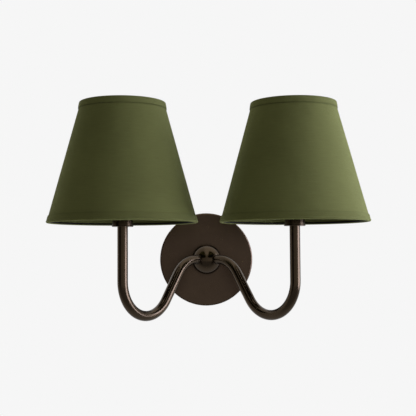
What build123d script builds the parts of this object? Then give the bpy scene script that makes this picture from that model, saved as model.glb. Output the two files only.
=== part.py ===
"""Double arm wall sconce: round canopy, ball hub, two gooseneck arms, two fabric shades.

Millimetres. +Z is up, +X is to the right as seen from the room, +Y points into the wall.
The origin is the centre of the canopy on the wall plane, so the wall is the plane Y = 0.
"""
from build123d import *
from math import cos, pi, radians, sin, sqrt
import os

# ---- canopy and what fastens it to the wall
canopy_overhang = 18.55
canopy_depth = 23.5
canopy_wall = 1.2
canopy_edge_r = 2.0
strap_width = 20.0
strap_t = 1.8
strap_bend_r = 3.0
tab_end = 5.0
tab_clear = 0.4
side_screw_d = 4.0
side_screw_y = 8.0
side_screw_recess = 0.2
side_screw_grip = 2.0
side_screw_hex = 2.0
side_screw_hex_depth = 2.5
box_screw_spacing = 88.9
box_slot_w = 4.8
box_slot_l = 14.0
ground_screw_d = 4.0
ground_screw_z = 22.0
ground_head_d = 8.4
ground_head_h = 2.4
ground_slot_w = 1.0
ground_slot_depth = 1.2

# ---- pipe threads that join hub, arms, cups and sockets
pipe_d = 10.0
pipe_nut_af = 14.3
pipe_nut_h = 3.2
washer_d = 18.6
washer_t = 0.8
washer_tooth_w = 1.6
washer_tooth_depth = 1.8
washer_teeth = 10
ground_tag_d = 15.0
ground_tag_w = 5.0
ground_tag_reach = 18.0
nipple_chamfer = 0.4

# ---- ball hub
hub_d = 40.0
hub_flat_d = 15.2
hub_wall = 6.5
arm_seat_step = 1.0

# ---- arms: each lies in its own vertical plane, turned out of the wall plane
arm_turn = 50.0
tube_wall = 1.3
arm_lead_out = 4.1
arm_bend_r = 43.3
arm_dip = 54.4
arm_slope_l = 40.2

# ---- socket cup and socket
cup_z = 40.0
cup_d = 24.6
cup_lip_d = 25.8
cup_lip_h = 1.6
cup_wall = 1.0
cup_h = 21.0
arm_nipple_sunk = 14.0
socket_thread_step = 1.0
socket_flange_rim = 2.7
socket_flange_h = 2.5
socket_grip_h = 6.0
socket_chamber_h = 8.0
socket_wall = 2.5
socket_web_t = 2.0
socket_shell_h = 16.0
shell_wall = 0.4
contact_d = 5.0
contact_t = 1.2
contact_rivet_d = 2.4
contact_gap = 1.2

# ---- bulb
bulb_cap_d = 11.8
bulb_cap_h = 15.4
bulb_cap_wall = 0.4
bulb_cap_chamfer = 1.2
bulb_tip_d = 5.6
bulb_tip_h = 1.2
bulb_tip_chamfer = 0.4
bulb_neck_d = 15.0
bulb_neck_h = 3.0
bulb_d = 35.0
bulb_h = 79.0
bulb_wide_z = 30.0
bulb_nose_d = 5.0
bulb_glass_t = 0.8
stem_d = 5.0
stem_h = 26.0
filament_d = 1.6
filament_top_gap = 22.2
filament_count = 4
filament_ring_d = 9.0

# ---- shade
shade_lift = 4.8
shade_h = 144.8
shade_bottom_d = 180.6
shade_top_d = 101.5
shade_wall = 1.0
trim_t = 0.5
trim_h = 8.6
trim_inner_h = 7.4
top_trim_swell = 0.85
glue_gap = 0.05
wire_d = 2.4
fitter_rim = 6.7
fitter_t = 1.2
spoke_count = 3
spoke_overlap = 2.0
shade_ring_rim = 5.7
shade_ring_h = 5.0
shade_ring_grip_w = 2.4
shade_ring_grip_depth = 0.8
shade_ring_grips = 16

# ---- wiring
lead_d = 2.3
lead_gap = 0.3
lead_room = 1.0
lead_hub_r = 8.0
lead_canopy_r = 6.5
lead_end_clear = 0.3
wire_nut_wall = 2.4
wire_nut_taper = 2.0
wire_nut_l = 21.0
wire_nut_x = 21.0
wire_nut_room = 1.9
wire_nut_end = 6.0
wire_nut_grip = 10.0
ground_lead_rise = 16.0
ground_lead_r = 7.5

# ---- fits
thread_clear = 0.05
press_clear = 0.03
run_clear = 0.08
loose_clear = 0.3
wire_nut_clear = 0.4

# ---- places worked out from the sizes above
lead_pitch = lead_d + lead_gap
pipe_bore_d = sqrt(2) * lead_pitch + lead_d + lead_room
tube_d = pipe_d + 2 * (thread_clear + tube_wall)
canopy_r = box_screw_spacing / 2 + canopy_overhang
tab_depth = side_screw_y + tab_end
hub_seat = sqrt((hub_d / 2) ** 2 - (hub_flat_d / 2) ** 2)
hub_hollow_r = hub_d / 2 - hub_wall
arm_seat = hub_hollow_r - arm_seat_step
arm_lead_in = hub_d / 2 + arm_lead_out
hub_y = canopy_depth + hub_seat
hub_centre = Vector(0, -hub_y, 0)
dip = radians(arm_dip)
turn = radians(arm_turn)
arm_reach = (
    arm_lead_in + arm_bend_r * sin(dip) + arm_slope_l * cos(dip) + arm_bend_r * (1 + sin(dip))
)
axis_x = arm_reach * cos(turn)
axis_y = hub_y + arm_reach * sin(turn)
tab_z = sqrt((canopy_r - canopy_wall) ** 2 - (strap_width / 2) ** 2) - tab_clear
nut_z = cup_z + cup_wall
socket_z = nut_z + pipe_nut_h
chamber_z = socket_z + socket_grip_h
web_z = chamber_z + socket_chamber_h
shell_z = web_z + socket_web_t
flange_z = cup_z + cup_h
socket_foot_r = cup_d / 2 - cup_wall - loose_clear
socket_thread_r = cup_d / 2 + socket_thread_step
fitter_r = socket_thread_r + fitter_rim
socket_top_z = shell_z + socket_shell_h
fitter_z = flange_z + socket_flange_h
shade_ring_z = fitter_z + fitter_t
tip_z = shell_z + contact_t
cap_z = tip_z + bulb_tip_h
glass_z = cap_z + bulb_cap_h
shade_z = cup_z + shade_lift
shade_top_z = shade_z + shade_h
shade_taper = (shade_bottom_d - shade_top_d) / 2 / shade_h
tag_y = canopy_depth - canopy_wall
washer_y = tag_y - washer_t
nut_y = washer_y - washer_t
wire_nut_bore_r = (lead_pitch + lead_d + wire_nut_room) / 2
wire_nut_r = wire_nut_bore_r + wire_nut_wall
wire_nut_bore_l = wire_nut_l - wire_nut_end
lead_turn_y = wire_nut_r + wire_nut_clear
nipple_end_y = lead_turn_y + lead_canopy_r
clamp_y = strap_t + lead_d + 2 * thread_clear

sides = {"left": -1, "right": 1}
lead_sides = {"black": -1, "white": 1}
finished = []


def save(piece, name):
    """Label a finished piece and write it to its own file."""
    piece.part.label = name
    export_step(piece.part, f"parts/{name}.step")
    finished.append(name)


def arm_plane(sign, shift=Vector(0, 0, 0)):
    """Upright plane of one arm through the hub: x runs outward and y runs up."""
    outward = Vector(sign * cos(turn), -sin(turn), 0)
    return Plane(hub_centre + shift, x_dir=outward, z_dir=outward.cross(Vector(0, 0, 1)))


def upright_plane(sign):
    """Plane through one socket's axis, facing the room: x is the radius and y is the height."""
    return Plane((sign * axis_x, -axis_y, 0), x_dir=(1, 0, 0), z_dir=(0, -1, 0))


def level_plane(sign, z):
    """Level plane at height z with its origin on one socket's axis."""
    return Plane((sign * axis_x, -axis_y, z))


def socket_axis(sign):
    """Upright axis that one socket, bulb and shade share."""
    return Axis((sign * axis_x, -axis_y, 0), (0, 0, 1))


def shade_r(z):
    """Outer radius of the finished shade, trims included, at height z."""
    return shade_bottom_d / 2 - shade_taper * (z - shade_z)


def gooseneck(start, top):
    """Centre line of an arm in its plane: level, down, round the bottom and straight up."""
    lead_in = Line((start, 0), (arm_lead_in, 0))
    over = JernArc(start=lead_in @ 1, tangent=lead_in % 1, radius=arm_bend_r, arc_size=-arm_dip)
    slope = PolarLine(start=over @ 1, length=arm_slope_l, direction=over % 1)
    under = JernArc(start=slope @ 1, tangent=slope % 1, radius=arm_bend_r, arc_size=arm_dip + 90)
    Line(under @ 1, (arm_reach, top))


# ---------------------------------------------------------------- canopy
def make_canopy():
    """Shallow round pan, open at the wall, with a centre hole and two side screw holes."""
    with BuildPart() as canopy:
        with BuildSketch(Plane.XZ):
            Circle(canopy_r)
        extrude(amount=canopy_depth)
        fillet(canopy.faces().sort_by(Axis.Y)[0].edges(), radius=canopy_edge_r)
        offset(amount=-canopy_wall, openings=canopy.faces().sort_by(Axis.Y)[-1])
        with BuildSketch(Plane.XZ.offset(canopy_depth)):
            Circle(pipe_d / 2 + thread_clear)
        extrude(amount=-2 * canopy_wall, mode=Mode.SUBTRACT)
        with BuildSketch(Plane.XY):
            with Locations((0, -side_screw_y)):
                Circle(side_screw_d / 2 + 2 * thread_clear)
        extrude(amount=canopy_r, both=True, mode=Mode.SUBTRACT)
    save(canopy, "canopy")


def make_strap():
    """Steel crossbar: its bent ends take the side screws and its slots fit the wall box."""
    with BuildPart() as strap:
        with BuildSketch(Plane.YZ):
            with BuildLine():
                outer = FilletPolyline(
                    (-tab_depth, tab_z), (0, tab_z), (0, -tab_z), (-tab_depth, -tab_z),
                    radius=strap_bend_r,
                )
                inner_z = tab_z - strap_t
                inner = FilletPolyline(
                    (-tab_depth, inner_z), (-strap_t, inner_z), (-strap_t, -inner_z),
                    (-tab_depth, -inner_z), radius=strap_bend_r - strap_t,
                )
                Line(outer @ 0, inner @ 0)
                Line(outer @ 1, inner @ 1)
            make_face()
        extrude(amount=strap_width / 2, both=True)
        with BuildSketch(Plane.XZ):
            with GridLocations(0, box_screw_spacing, 1, 2):
                SlotOverall(box_slot_l, box_slot_w, rotation=90)
            Circle(pipe_d / 2 + loose_clear)
            with Locations((0, ground_screw_z)):
                Circle(ground_screw_d / 2 + thread_clear)
        extrude(amount=strap_t, mode=Mode.SUBTRACT)
        with BuildSketch(Plane.XY):
            with Locations((0, -side_screw_y)):
                Circle(side_screw_d / 2 + thread_clear)
        extrude(amount=tab_z, both=True, mode=Mode.SUBTRACT)
    save(strap, "mounting_strap")


def make_side_screws():
    """Two headless screws, flush in the canopy's rim above and below."""
    outer_z = canopy_r - side_screw_recess
    inner_z = tab_z - strap_t - side_screw_grip
    with BuildPart() as screws:
        with BuildSketch(Plane.XY.offset(inner_z)):
            with Locations((0, -side_screw_y)):
                Circle(side_screw_d / 2)
        extrude(amount=outer_z - inner_z)
        with BuildSketch(Plane.XY.offset(outer_z)):
            with Locations((0, -side_screw_y)):
                RegularPolygon(side_screw_hex / 2, 6, major_radius=False)
        extrude(amount=-side_screw_hex_depth, mode=Mode.SUBTRACT)
        mirror(about=Plane.XY)
    save(screws, "canopy_screws")


def make_ground_screw():
    """Slotted screw that clamps the earth lead to the crossbar."""
    with BuildPart() as screw:
        with BuildSketch(Plane.XZ):
            with Locations((0, ground_screw_z)):
                Circle(ground_screw_d / 2)
        extrude(amount=clamp_y)
        with BuildSketch(Plane.XZ.offset(clamp_y)):
            with Locations((0, ground_screw_z)):
                Circle(ground_head_d / 2)
        extrude(amount=ground_head_h)
        with BuildSketch(Plane.XZ.offset(clamp_y + ground_head_h)):
            with Locations((0, ground_screw_z)):
                Rectangle(ground_head_d, ground_slot_w)
        extrude(amount=-ground_slot_depth, mode=Mode.SUBTRACT)
    save(screw, "ground_screw")


# ---------------------------------------------------------------- hub
def make_hub():
    """Hollow ball, cut flat where it meets the canopy, bored for the nipple and both arms."""
    with BuildPart() as hub:
        with Locations(hub_centre):
            Sphere(hub_d / 2)
            Sphere(hub_hollow_r, mode=Mode.SUBTRACT)
        split(bisect_by=Plane.XZ.offset(canopy_depth), keep=Keep.TOP)
        with BuildSketch(Plane.XZ.offset(canopy_depth)):
            Circle(pipe_d / 2 + thread_clear)
        extrude(amount=hub_seat, mode=Mode.SUBTRACT)
        for sign in sides.values():
            plane = arm_plane(sign)
            with BuildSketch(Plane(plane.origin + plane.x_dir * arm_seat, z_dir=plane.x_dir)):
                Circle(tube_d / 2 + press_clear)
            extrude(amount=hub_d / 2, mode=Mode.SUBTRACT)
    save(hub, "hub_ball")


def make_centre_nipple():
    """Threaded tube that pulls the hub against the canopy and lets the leads through."""
    front_y = hub_y - hub_hollow_r
    with BuildPart() as nipple:
        with BuildSketch(Plane.XZ.offset(nipple_end_y)):
            Circle(pipe_d / 2)
            Circle(pipe_bore_d / 2, mode=Mode.SUBTRACT)
        extrude(amount=front_y - nipple_end_y)
        rims = nipple.edges().filter_by(GeomType.CIRCLE).group_by(SortBy.RADIUS)[-1]
        chamfer(rims, nipple_chamfer)
    save(nipple, "centre_nipple")


def make_ground_tag():
    """Ring terminal on the nipple, with a tail that the earth lead is crimped to."""
    with BuildPart() as tag:
        with BuildSketch(Plane.XZ.offset(washer_y)):
            Circle(ground_tag_d / 2)
            with Locations((0, ground_tag_reach / 2)):
                Rectangle(ground_tag_w, ground_tag_reach)
            Circle(pipe_d / 2 + thread_clear, mode=Mode.SUBTRACT)
        extrude(amount=washer_t)
    save(tag, "ground_tag")


def make_lock_washer():
    """External tooth washer under the nut."""
    with BuildPart() as washer:
        with BuildSketch(Plane.XZ.offset(nut_y)):
            Circle(washer_d / 2)
            Circle(pipe_d / 2 + thread_clear, mode=Mode.SUBTRACT)
            with PolarLocations(washer_d / 2, washer_teeth):
                Rectangle(2 * washer_tooth_depth, washer_tooth_w, mode=Mode.SUBTRACT)
        extrude(amount=washer_t)
    save(washer, "lock_washer")


def pipe_nut(plane):
    """Hexagon nut on the pipe thread, standing on the given plane."""
    with BuildPart() as nut:
        with BuildSketch(plane):
            RegularPolygon(pipe_nut_af / 2, 6, major_radius=False)
            Circle(pipe_d / 2 + thread_clear, mode=Mode.SUBTRACT)
        extrude(amount=pipe_nut_h)
    return nut


# ---------------------------------------------------------------- arms
def make_arm(side, sign):
    """Bent tube from its seat in the hub to the underside of its cup."""
    plane = arm_plane(sign)
    with BuildPart() as arm:
        with BuildLine(plane) as route:
            gooseneck(arm_seat, cup_z)
        with BuildSketch(Plane(route.line @ 0, z_dir=route.line % 0)):
            Circle(tube_d / 2)
            Circle(tube_d / 2 - tube_wall, mode=Mode.SUBTRACT)
        sweep()
    save(arm, f"{side}_arm")


def make_arm_nipple(side, sign):
    """Threaded tube fixed in the arm's end: it carries the cup, its nut and the socket."""
    with BuildPart() as nipple:
        with BuildSketch(level_plane(sign, cup_z - arm_nipple_sunk)):
            Circle(pipe_d / 2)
            Circle(pipe_bore_d / 2, mode=Mode.SUBTRACT)
        extrude(amount=arm_nipple_sunk + chamber_z - cup_z)
    save(nipple, f"{side}_arm_nipple")


def make_cup(side, sign):
    """Spun cup with a rolled lip round its foot."""
    with BuildPart() as cup:
        with BuildSketch(level_plane(sign, cup_z)):
            Circle(cup_d / 2)
        extrude(amount=cup_h)
        offset(amount=-cup_wall, openings=cup.faces().sort_by(Axis.Z)[-1])
        with BuildSketch(level_plane(sign, cup_z)):
            Circle(cup_lip_d / 2)
        extrude(amount=cup_lip_h)
        with BuildSketch(level_plane(sign, cup_z + cup_wall)):
            Circle(cup_d / 2 - cup_wall)
        extrude(amount=cup_lip_h, mode=Mode.SUBTRACT)
        lip_edges = cup.edges().filter_by(GeomType.CIRCLE).group_by(SortBy.RADIUS)[-1]
        fillet(lip_edges, radius=(cup_lip_d - cup_d) / 2 - thread_clear)
        with BuildSketch(level_plane(sign, cup_z)):
            Circle(pipe_d / 2 + thread_clear)
        extrude(amount=cup_wall, mode=Mode.SUBTRACT)
    save(cup, f"{side}_socket_cup")


# ---------------------------------------------------------------- socket
def make_socket(side, sign):
    """Moulded socket: foot on the nipple, wiring chamber, web, flange and shade thread."""
    shell_r = bulb_cap_d / 2 + run_clear + shell_wall
    stages = (
        (socket_z, flange_z, socket_foot_r),
        (flange_z, fitter_z, socket_thread_r + socket_flange_rim),
        (fitter_z, socket_top_z, socket_thread_r),
    )
    hollows = (
        (socket_z, chamber_z, pipe_d / 2 + thread_clear),
        (chamber_z, web_z, socket_foot_r - socket_wall),
        (web_z, shell_z, contact_rivet_d / 2 + press_clear),
        (shell_z, socket_top_z, shell_r + press_clear),
    )
    with BuildPart() as socket:
        for low_z, high_z, radius in stages:
            with BuildSketch(level_plane(sign, low_z)):
                Circle(radius)
            extrude(amount=high_z - low_z)
        for low_z, high_z, radius in hollows:
            with BuildSketch(level_plane(sign, low_z)):
                Circle(radius)
            extrude(amount=high_z - low_z, mode=Mode.SUBTRACT)
    save(socket, f"{side}_socket")


def make_screw_shell(side, sign):
    """Brass shell that takes the bulb's cap."""
    shell_r = bulb_cap_d / 2 + run_clear
    with BuildPart() as shell:
        with BuildSketch(level_plane(sign, shell_z)):
            Circle(shell_r + shell_wall)
            Circle(shell_r, mode=Mode.SUBTRACT)
        extrude(amount=socket_shell_h)
        with BuildSketch(level_plane(sign, shell_z)):
            Circle(shell_r + shell_wall)
            Circle(contact_d / 2 + contact_gap, mode=Mode.SUBTRACT)
        extrude(amount=shell_wall)
    save(shell, f"{side}_screw_shell")


def make_contact(side, sign):
    """Centre contact riveted through the socket's web."""
    with BuildPart() as contact:
        with BuildSketch(level_plane(sign, shell_z)):
            Circle(contact_d / 2)
        extrude(amount=contact_t)
        with BuildSketch(level_plane(sign, web_z)):
            Circle(contact_rivet_d / 2)
        extrude(amount=socket_web_t)
    save(contact, f"{side}_centre_contact")


# ---------------------------------------------------------------- bulb
def make_bulb_tip(side, sign):
    """Contact button under the bulb's cap."""
    with BuildPart() as tip:
        with BuildSketch(level_plane(sign, tip_z)):
            Circle(bulb_tip_d / 2)
        extrude(amount=bulb_tip_h)
        chamfer(tip.edges().sort_by(Axis.Z)[0], bulb_tip_chamfer)
    save(tip, f"{side}_bulb_tip")


def make_bulb_cap(side, sign):
    """Brass screw cap, closed below and open to the glass above."""
    with BuildPart() as cap:
        with BuildSketch(level_plane(sign, cap_z)):
            Circle(bulb_cap_d / 2)
        extrude(amount=bulb_cap_h)
        chamfer(cap.edges().sort_by(Axis.Z)[0], bulb_cap_chamfer)
        offset(amount=-bulb_cap_wall, openings=cap.faces().sort_by(Axis.Z)[-1])
    save(cap, f"{side}_bulb_cap")


def glass_outline(inset):
    """Half outline of the candle bulb, drawn in by inset: neck, belly and pointed nose."""
    low_z = glass_z + inset
    neck_r = bulb_neck_d / 2 - inset
    belly_r = bulb_d / 2 - inset
    nose_r = bulb_nose_d / 2 - inset
    middle = ((neck_r + belly_r) / 2, glass_z + (bulb_neck_h + bulb_wide_z) / 2)
    foot = Line((0, low_z), (neck_r, low_z))
    neck = Line(foot @ 1, (neck_r, glass_z + bulb_neck_h))
    flare = TangentArc(neck @ 1, middle, tangent=neck % 1)
    belly = TangentArc(flare @ 1, (belly_r, glass_z + bulb_wide_z), tangent=flare % 1)
    nose = TangentArc(belly @ 1, (nose_r, glass_z + bulb_h - inset), tangent=belly % 1)
    tip = Line(nose @ 1, (0, glass_z + bulb_h - inset))
    Line(tip @ 1, foot @ 0)


def make_bulb_glass(side, sign):
    """Candle shaped glass envelope."""
    with BuildPart() as glass:
        with BuildSketch(upright_plane(sign)):
            with BuildLine():
                glass_outline(0)
            make_face()
        revolve(axis=socket_axis(sign))
        with BuildSketch(upright_plane(sign)):
            with BuildLine():
                glass_outline(bulb_glass_t)
            make_face()
        revolve(axis=socket_axis(sign), mode=Mode.SUBTRACT)
    save(glass, f"{side}_bulb_glass")


def make_bulb_stem(side, sign):
    """Glass stem on the bulb's floor with its ring of upright filaments."""
    floor_z = glass_z + bulb_glass_t
    filament_h = bulb_h - bulb_glass_t - stem_h - filament_top_gap
    with BuildPart() as stem:
        with BuildSketch(level_plane(sign, floor_z)):
            Circle(stem_d / 2)
        extrude(amount=stem_h)
        with BuildSketch(level_plane(sign, floor_z + stem_h)):
            Circle(filament_ring_d / 2 + filament_d)
        extrude(amount=filament_d)
        with BuildSketch(level_plane(sign, floor_z + stem_h)):
            with PolarLocations(filament_ring_d / 2, filament_count):
                Circle(filament_d / 2)
        extrude(amount=filament_h)
    save(stem, f"{side}_bulb_stem")


# ---------------------------------------------------------------- shade
def make_shade_skin(side, sign):
    """Stiffened fabric cone, open above and below."""
    low_z = shade_z + trim_t + glue_gap
    high_z = shade_top_z - trim_t - glue_gap
    skin_gap = trim_t + glue_gap
    with BuildPart() as skin:
        with BuildSketch(upright_plane(sign)):
            with BuildLine():
                Polyline(
                    (shade_r(low_z) - skin_gap, low_z),
                    (shade_r(high_z) - skin_gap, high_z),
                    (shade_r(high_z) - skin_gap - shade_wall, high_z),
                    (shade_r(low_z) - skin_gap - shade_wall, low_z),
                    close=True,
                )
            make_face()
        revolve(axis=socket_axis(sign))
    save(skin, f"{side}_shade_skin")


def ring_centre(edge_z, way):
    """Radius and height of the wire ring that lies inside the skin's edge."""
    z = edge_z + way * (trim_t + glue_gap + wire_d / 2)
    skin_inner = min(shade_r(z - wire_d / 2), shade_r(z + wire_d / 2)) - trim_t - glue_gap - shade_wall
    return skin_inner - glue_gap - wire_d / 2, z


def trim_outline(edge_z, way, swell):
    """Section of a trim that folds round the skin's edge and the wire ring inside it."""
    inner_gap = trim_t + 2 * glue_gap + shade_wall
    ring_r, ring_z = ring_centre(edge_z, way)
    fold_r = ring_r - wire_d / 2 - glue_gap
    floor_z = edge_z + way * trim_t
    ring_end_z = ring_z + way * (wire_d / 2 + glue_gap)
    band_z = edge_z + way * trim_h
    hem_z = edge_z + way * trim_inner_h
    Polyline(
        (shade_r(edge_z) + swell, edge_z),
        (shade_r(band_z), band_z),
        (shade_r(band_z) - trim_t, band_z),
        (shade_r(floor_z) - trim_t, floor_z),
        (fold_r, floor_z),
        (fold_r, ring_end_z),
        (shade_r(hem_z) - inner_gap, hem_z),
        (shade_r(hem_z) - inner_gap - trim_t, hem_z),
        (fold_r - trim_t, ring_end_z),
        (fold_r - trim_t, edge_z),
        close=True,
    )


def spoke_ends(sign, angle):
    """Centre line of one spoke, from the fitter's rim down to the bottom wire ring."""
    ring_r, ring_z = ring_centre(shade_z, 1)
    start_r = fitter_r - spoke_overlap
    start_z = fitter_z + fitter_t / 2
    away = Vector(cos(angle), sin(angle), 0)
    foot = Vector(sign * axis_x, -axis_y, 0)
    return foot + away * start_r + Vector(0, 0, start_z), foot + away * ring_r + Vector(0, 0, ring_z)


def spoke_angles():
    """Directions of the spokes round the socket's axis; the first points at the wall."""
    return [pi / 2 + 2 * pi * i / spoke_count for i in range(spoke_count)]


def spoke_plane(sign, angle):
    """Plane square to one spoke at its upper end, and the spoke's length."""
    start, end = spoke_ends(sign, angle)
    return Plane(start, z_dir=end - start), (end - start).length


def make_trim(side, sign, name, edge_z, way, swell):
    """Fabric trim round one edge, notched where the spokes run through to the wire ring."""
    with BuildPart() as trim:
        with BuildSketch(upright_plane(sign)):
            with BuildLine():
                trim_outline(edge_z, way, swell)
            make_face()
        revolve(axis=socket_axis(sign))
        if way > 0:
            for angle in spoke_angles():
                plane, length = spoke_plane(sign, angle)
                with BuildSketch(plane):
                    Circle(wire_d / 2 + glue_gap)
                extrude(amount=length, mode=Mode.SUBTRACT)
    save(trim, f"{side}_shade_{name}")


def make_top_ring(side, sign):
    """Wire ring that holds the shade's top edge round."""
    ring_r, ring_z = ring_centre(shade_top_z, -1)
    with BuildPart() as ring:
        with Locations((sign * axis_x, -axis_y, ring_z)):
            Torus(ring_r, wire_d / 2)
    save(ring, f"{side}_shade_top_ring")


def make_fitter(side, sign):
    """Flat fitter on the socket's flange, three spokes and the bottom wire ring, welded."""
    ring_r, ring_z = ring_centre(shade_z, 1)
    with BuildPart() as fitter:
        with BuildSketch(level_plane(sign, fitter_z)):
            Circle(fitter_r)
        extrude(amount=fitter_t)
        for angle in spoke_angles():
            plane, length = spoke_plane(sign, angle)
            with BuildSketch(plane):
                Circle(wire_d / 2)
            extrude(amount=length)
        with Locations((sign * axis_x, -axis_y, ring_z)):
            Torus(ring_r, wire_d / 2)
        with BuildSketch(level_plane(sign, fitter_z - wire_d)):
            Circle(fitter_r + wire_d)
        extrude(amount=wire_d, mode=Mode.SUBTRACT)
        with BuildSketch(level_plane(sign, fitter_z + fitter_t)):
            Circle(fitter_r + wire_d)
        extrude(amount=wire_d, mode=Mode.SUBTRACT)
        with BuildSketch(level_plane(sign, fitter_z)):
            Circle(socket_thread_r + loose_clear)
        extrude(amount=fitter_t, mode=Mode.SUBTRACT)
    save(fitter, f"{side}_shade_fitter")


def make_shade_ring(side, sign):
    """Ribbed ring that screws down on the fitter."""
    with BuildPart() as ring:
        with BuildSketch(level_plane(sign, shade_ring_z)):
            Circle(socket_thread_r + shade_ring_rim)
            Circle(socket_thread_r + thread_clear, mode=Mode.SUBTRACT)
            with PolarLocations(socket_thread_r + shade_ring_rim, shade_ring_grips):
                Rectangle(2 * shade_ring_grip_depth, shade_ring_grip_w, mode=Mode.SUBTRACT)
        extrude(amount=shade_ring_h)
    save(ring, f"{side}_shade_ring")


# ---------------------------------------------------------------- wiring
def make_lead(side, sign, colour, lane):
    """One insulated lead, from the socket's chamber through arm, hub and nipple to its wire nut."""
    across = lane * lead_pitch / 2
    lead_z = -sign * lead_pitch / 2
    sideways = Vector(sin(turn), sign * cos(turn), 0) * across
    plane = arm_plane(sign, sideways + Vector(0, 0, lead_z))
    corner_out = (across - sideways.X) / (sign * cos(turn))
    corner_y = hub_y + corner_out * sin(turn) - sideways.Y
    arm_start = plane.from_local_coords((arm_seat, 0, 0))
    with BuildPart() as lead:
        with BuildLine(plane) as in_arm:
            gooseneck(arm_seat, web_z - lead_end_clear - lead_z)
        with BuildLine(Plane.XY.offset(lead_z)) as in_hub:
            FilletPolyline(
                (arm_start.X, arm_start.Y), (across, -corner_y), (across, -lead_turn_y),
                (lane * (wire_nut_x + wire_nut_bore_l / 2), -lead_turn_y),
                radius=(lead_hub_r, lead_canopy_r),
            )
        with BuildLine() as route:
            add(in_arm.line)
            add(in_hub.line)
        start = in_arm.line @ 1
        with BuildSketch(Plane(start, z_dir=in_arm.line % 1)):
            Circle(lead_d / 2)
        sweep(path=route.wire())
    save(lead, f"{side}_{colour}_lead")


def make_wire_nut(colour, lane):
    """Tapered wire connector over the ends of two leads."""
    with BuildPart() as nut:
        plane = Plane((lane * wire_nut_x, -lead_turn_y, 0), z_dir=(lane, 0, 0))
        with BuildSketch(plane):
            Circle(wire_nut_r)
        with BuildSketch(plane.offset(wire_nut_grip)):
            Circle(wire_nut_r)
        loft()
        with BuildSketch(plane.offset(wire_nut_grip)):
            Circle(wire_nut_r)
        with BuildSketch(plane.offset(wire_nut_l)):
            Circle(wire_nut_r - wire_nut_taper)
        loft()
        with BuildSketch(plane):
            Circle(wire_nut_bore_r)
        extrude(amount=wire_nut_bore_l, mode=Mode.SUBTRACT)
    save(nut, f"{colour}_wire_nut")


def make_ground_lead():
    """Earth lead from the ring terminal, up and over, to its screw on the crossbar."""
    start_y = washer_y - thread_clear - lead_d / 2
    end_y = strap_t + thread_clear + lead_d / 2
    start_z = washer_d / 2 + loose_clear
    end_z = ground_screw_z + ground_screw_d / 2 + thread_clear
    top_z = ground_screw_z + ground_lead_rise
    with BuildPart() as lead:
        with BuildLine(Plane.YZ) as route:
            FilletPolyline(
                (-start_y, start_z), (-start_y, top_z), (-end_y, top_z), (-end_y, end_z),
                radius=ground_lead_r,
            )
        with BuildSketch(Plane(route.line @ 0, z_dir=route.line % 0)):
            Circle(lead_d / 2)
        sweep()
    save(lead, "ground_lead")


os.makedirs("parts", exist_ok=True)

make_canopy()
make_strap()
make_side_screws()
make_ground_screw()
make_hub()
make_centre_nipple()
make_ground_tag()
make_lock_washer()
save(pipe_nut(Plane.XZ.offset(nut_y - pipe_nut_h)), "centre_nut")
make_ground_lead()

for colour, lane in lead_sides.items():
    make_wire_nut(colour, lane)

for side, sign in sides.items():
    make_arm(side, sign)
    make_arm_nipple(side, sign)
    make_cup(side, sign)
    save(pipe_nut(level_plane(sign, nut_z)), f"{side}_cup_nut")
    make_socket(side, sign)
    make_screw_shell(side, sign)
    make_contact(side, sign)
    make_bulb_tip(side, sign)
    make_bulb_cap(side, sign)
    make_bulb_glass(side, sign)
    make_bulb_stem(side, sign)
    make_shade_skin(side, sign)
    make_trim(side, sign, "bottom_trim", shade_z, 1, 0)
    make_trim(side, sign, "top_trim", shade_top_z, -1, top_trim_swell)
    make_top_ring(side, sign)
    make_fitter(side, sign)
    make_shade_ring(side, sign)
    for colour, lane in lead_sides.items():
        make_lead(side, sign, colour, lane)

print("pieces:", len(finished))
print("socket axes at x", round(axis_x, 2), "y", round(-axis_y, 2))
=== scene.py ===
from math import cos, hypot, pi, radians, sin, sqrt

import bmesh
import bpy
from mathutils import Matrix, Vector, noise


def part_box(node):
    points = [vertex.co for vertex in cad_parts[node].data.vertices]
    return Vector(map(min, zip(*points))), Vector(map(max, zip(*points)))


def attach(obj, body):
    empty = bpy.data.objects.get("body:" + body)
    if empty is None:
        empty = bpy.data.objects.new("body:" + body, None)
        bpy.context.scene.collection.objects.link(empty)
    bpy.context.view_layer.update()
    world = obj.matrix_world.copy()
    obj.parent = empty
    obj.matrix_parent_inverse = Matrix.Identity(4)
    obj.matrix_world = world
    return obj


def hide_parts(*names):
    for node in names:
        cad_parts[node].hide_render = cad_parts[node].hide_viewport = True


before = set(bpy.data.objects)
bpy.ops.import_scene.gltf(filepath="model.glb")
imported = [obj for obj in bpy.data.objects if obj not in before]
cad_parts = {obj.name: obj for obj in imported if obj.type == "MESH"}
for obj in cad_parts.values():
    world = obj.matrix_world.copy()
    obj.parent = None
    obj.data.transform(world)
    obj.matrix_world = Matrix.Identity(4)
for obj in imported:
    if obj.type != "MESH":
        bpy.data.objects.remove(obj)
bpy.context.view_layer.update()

MM = 0.001
SIDES = {"left": -1, "right": 1}
RIGHT, BACK, UP = Vector((1, 0, 0)), Vector((0, 1, 0)), Vector((0, 0, 1))

# ---- how finely round shapes are cut
SHADE_SEGMENTS = 192
THREAD_SEGMENTS = 64
INSULATOR_SEGMENTS = 48
STEM_SEGMENTS = 40
ROD_SIDES = 10
WIRE_SIDES = 8
WIRE_RING_STEPS = 24
BEAD_STEPS = 48

# ---- edges sharper than this many degrees stay sharp; metres within which points are joined
SHARP_ANGLE = 35.0
THREAD_SHARP_ANGLE = 60.0
AXIS_WELD = 1e-6

# ---- shade cloth and liner, in from the CAD skin's face and from its rims (millimetres)
CLOTH_INSET = 0.2
CLOTH_END = 1.0
CLOTH_T = 0.35
CLOTH_STEPS = 30
LINER_T = 0.5
LINER_GLUE = 0.1

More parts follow.
